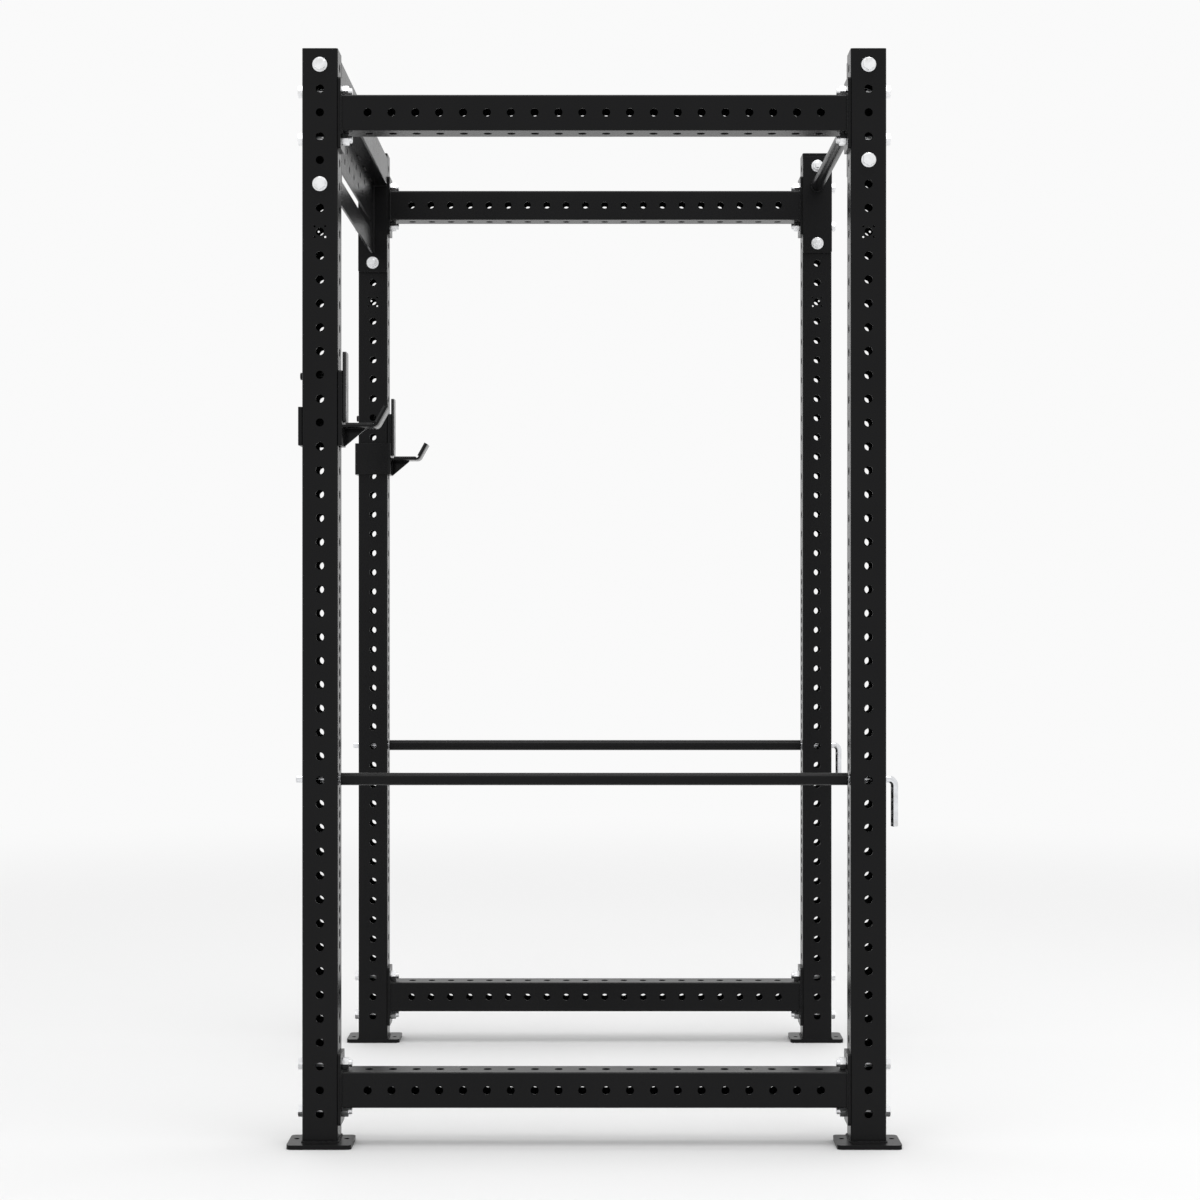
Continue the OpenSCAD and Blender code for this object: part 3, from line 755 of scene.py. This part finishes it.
def boltEnds(node):
    # the free end of every bolt in a node, which is the end nearer the middle of the cage
    work = mergedCopy(node)
    ends = []
    for part in looseParts(work):
        low = Vector([min(place[k] for place in part) for k in range(3)])
        high = Vector([max(place[k] for place in part) for k in range(3)])
        mid = (low + high) / 2
        axis = max(range(3), key=lambda k: high[k] - low[k])
        inward = -1 if mid[axis] > 0 else 1
        way = Vector((0, 0, 0))
        way[axis] = inward
        tip = mid.copy()
        tip[axis] = high[axis] if inward > 0 else low[axis]
        ends.append((tip - way * thread["fromEnd"], way))
    work.free()
    return ends


boltSpots = []
for node in ("left_side_bolts", "right_side_bolts", "front_bolts", "pull_up_bolts"):
    boltSpots += boltEnds(node)
threadMesh = runTree(threadTree, spotHolder("boltTips", boltSpots), "boltThreads", {
    "Radius": thread["radius"], "Pitch": thread["pitch"], "Turns": thread["turns"],
    "Ridge": thread["ridge"], "Material": finishes["zinc_hardware"]})
linkPiece("boltThreads", threadMesh, "frame")
print("threads cut:", len(boltSpots))


# hole rims
holes = {"radius": 0.00875, "pitch": 0.0508, "first": 0.06035, "topEdge": 0.0254,
         "crossEdge": 0.0635, "halfFrom": 8, "halfTo": 24, "lip": 0.0009, "lipHeight": 0.0002,
         "proud": 0.00002, "slack": 0.001}


def holesAlong(length):
    return int(length / holes["pitch"] + holes["slack"]) + 1


def uprightSpots(corner):
    # every hole on four faces, and the holes halfway between on the front and rear faces
    low, high, mid = boxOf(corner + "_upright")
    half = (high.x - low.x) / 2 + holes["proud"]
    first = low.z + holes["first"]
    count = holesAlong(high.z - low.z - holes["first"] - holes["topEdge"])
    heights = [first + k * holes["pitch"] for k in range(count)]
    between = [first + (k - 0.5) * holes["pitch"] for k in range(holes["halfFrom"], holes["halfTo"])]
    spots = [((mid.x + sign * half, mid.y, z), (sign, 0, 0))
             for z in heights + between for sign in (-1, 1)]
    return spots + [((mid.x, mid.y + sign * half, z), (0, sign, 0))
                    for z in heights for sign in (-1, 1)]


def crossmemberSpots(node):
    low, high, mid = boxOf(node)
    flangeLow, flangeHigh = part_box(node.replace("crossmember", "flanges"))
    half = (high.z - low.z) / 2 + holes["proud"]
    count = holesAlong(flangeHigh.x - flangeLow.x - 2 * holes["crossEdge"])
    spots = []
    for k in range(count):
        x = mid.x + (k - (count - 1) / 2) * holes["pitch"]
        for sign in (-1, 1):
            spots.append(((x, mid.y + sign * half, mid.z), (0, sign, 0)))
            spots.append(((x, mid.y, mid.z + sign * half), (0, 0, sign)))
    return spots


rimSpots = []
for corner in corners:
    rimSpots += uprightSpots(corner)
for node in crossmembers:
    rimSpots += crossmemberSpots(node)
rimMesh = runTree(rimTree, spotHolder("holeSpots", rimSpots), "holeRims", {
    "Hole Radius": holes["radius"], "Lip Width": holes["lip"],
    "Lip Height": holes["lipHeight"], "Material": finishes["frame_black"]})
linkPiece("holeRims", rimMesh, "frame")
print("rims:", len(rimSpots))


# floor, light and camera
studio = {"floorSize": 60.0, "floor": (0.79, 0.79, 0.79, 1), "floorGloss": 0.75,
          "floorSpecular": 0.15, "sky": (0.955, 0.955, 0.955, 1), "fadeFrom": 2.2, "fadeTo": 7.0,
          "behindCamera": 0.92, "elsewhere": 1.0, "dimFrom": -0.95, "dimTo": -0.45,
          "keyPower": 150.0, "keySize": 4.0, "keyPlace": (0.5, -1.0, 6.0)}


def makeFloor():
    # a pale floor that fades into the sky's own tone far from the object
    size = studio["floorSize"]
    mesh = bpy.data.meshes.new("studioFloor")
    mesh.from_pydata([(-size, -size, 0), (size, -size, 0), (size, size, 0), (-size, size, 0)],
                     [], [(0, 1, 2, 3)])
    floor = bpy.data.objects.new("studioFloor", mesh)
    scene.collection.objects.link(floor)
    material, tree, shader = bareMaterial("paleFloor")
    shader.inputs["Base Color"].default_value = studio["floor"]
    shader.inputs["Roughness"].default_value = studio["floorGloss"]
    shader.inputs["Specular IOR Level"].default_value = studio["floorSpecular"]
    glow = addNode(tree, "ShaderNodeEmission")
    glow.inputs["Color"].default_value = studio["sky"]
    distance = addNode(tree, "ShaderNodeVectorMath", operation="LENGTH")
    feed(tree, distance.inputs[0], objectPlace(tree))
    fade = rangeNode(tree, distance.outputs["Value"], studio["fadeFrom"], studio["fadeTo"],
                     interpolation_type="SMOOTHSTEP")
    blend = addNode(tree, "ShaderNodeMixShader")
    feed(tree, blend.inputs[0], fade)
    feed(tree, blend.inputs[1], shader.outputs[0])
    feed(tree, blend.inputs[2], glow.outputs[0])
    feed(tree, tree.nodes["Material Output"].inputs["Surface"], blend.outputs[0])
    mesh.materials.append(material)


def makeSky():
    # an even white room, a little darker on the side that the near faces look at
    world = bpy.data.worlds.new("studioSky")
    scene.world = world
    world.use_nodes = True
    tree = world.node_tree
    seen = tree.nodes["Background"]
    lit = addNode(tree, "ShaderNodeBackground")
    for background in (seen, lit):
        background.inputs["Color"].default_value = studio["sky"]
    place = addNode(tree, "ShaderNodeTexCoord")
    split = addNode(tree, "ShaderNodeSeparateXYZ")
    feed(tree, split.inputs[0], place.outputs["Generated"])
    strength = rangeNode(tree, split.outputs["Y"], studio["dimFrom"], studio["dimTo"],
                         studio["behindCamera"], studio["elsewhere"],
                         interpolation_type="SMOOTHSTEP")
    feed(tree, lit.inputs["Strength"], strength)
    path = addNode(tree, "ShaderNodeLightPath")
    blend = addNode(tree, "ShaderNodeMixShader")
    feed(tree, blend.inputs[0], path.outputs["Is Camera Ray"])
    feed(tree, blend.inputs[1], lit.outputs[0])
    feed(tree, blend.inputs[2], seen.outputs[0])
    feed(tree, tree.nodes["World Output"].inputs["Surface"], blend.outputs[0])


def makeKeyLight():
    data = bpy.data.lights.new("topSoftbox", "AREA")
    data.energy = studio["keyPower"]
    data.size = studio["keySize"]
    light = bpy.data.objects.new("topSoftbox", data)
    light.location = studio["keyPlace"]
    scene.collection.objects.link(light)


view = {"lens": 70.0, "sensor": 36.0, "side": 0.0092, "distance": 5.590, "height": 1.165,
        "shiftX": 0.0012, "farthest": 200.0}


def makeCamera():
    # level, and square to the cage's left side
    data = bpy.data.cameras.new("studioCamera")
    data.lens = view["lens"]
    data.sensor_width = view["sensor"]
    data.shift_x = view["shiftX"]
    data.clip_end = view["farthest"]
    camera = bpy.data.objects.new("studioCamera", data)
    camera.location = (view["side"], -view["distance"], view["height"])
    camera.rotation_euler = (radians(90), 0, 0)
    scene.collection.objects.link(camera)
    scene.camera = camera
    scene.view_settings.view_transform = "Standard"


makeFloor()
makeSky()
makeKeyLight()
makeCamera()
print("studio ready")
